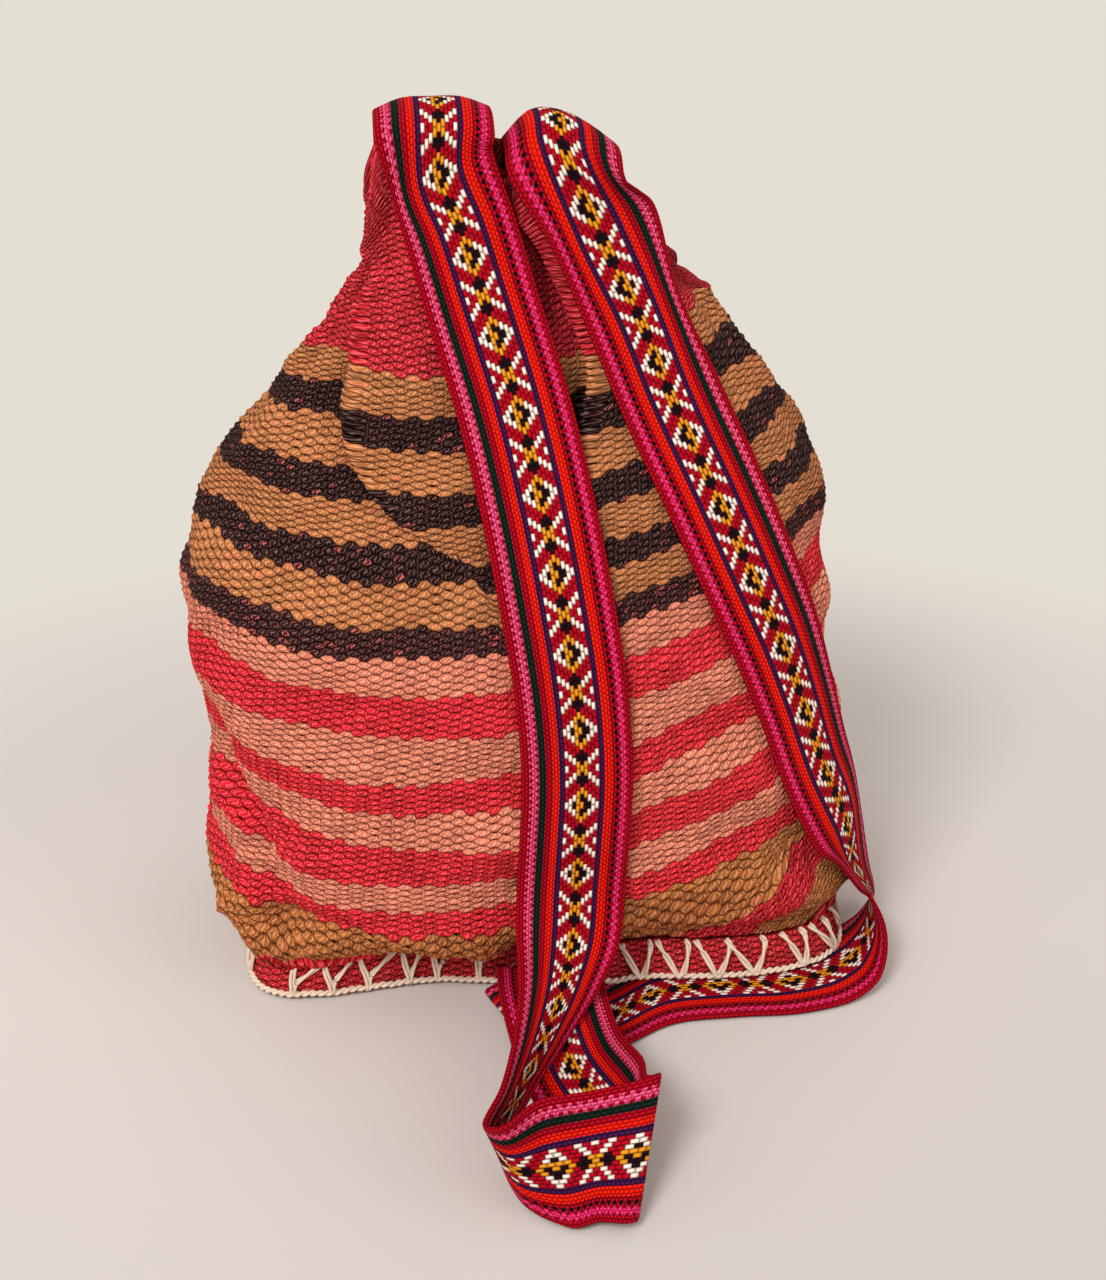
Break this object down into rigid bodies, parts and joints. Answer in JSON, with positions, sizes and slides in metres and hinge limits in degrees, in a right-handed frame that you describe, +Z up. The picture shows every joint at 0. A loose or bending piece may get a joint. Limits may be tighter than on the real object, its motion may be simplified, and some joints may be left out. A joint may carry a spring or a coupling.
{
  "type": "woven drawstring backpack",
  "caption": "Striped hand-woven wool backpack, its mouth drawn shut, with one long patterned band as drawstring and both shoulder straps.",
  "frame": {"origin": "middle of the base's underside, on the surface that the bag stands on", "axes": "+Z up, -Y towards the front with the straps, +X to the viewer's right"},
  "size_m": [0.3773, 0.3591, 0.4488],
  "materials": {
    "striped_wool": "matt",
    "crimson_wool": "matt",
    "cream_yarn": "matt",
    "woven_band": "matt",
    "thread": "matt"
  },
  "bodies": {
    "root": {"bag_cloth": "striped_wool", "base_panel": "crimson_wool", "edge_yarn": "cream_yarn", "strap_band": "woven_band", "anchor_thread": "thread"}
  },
  "joints": []
}
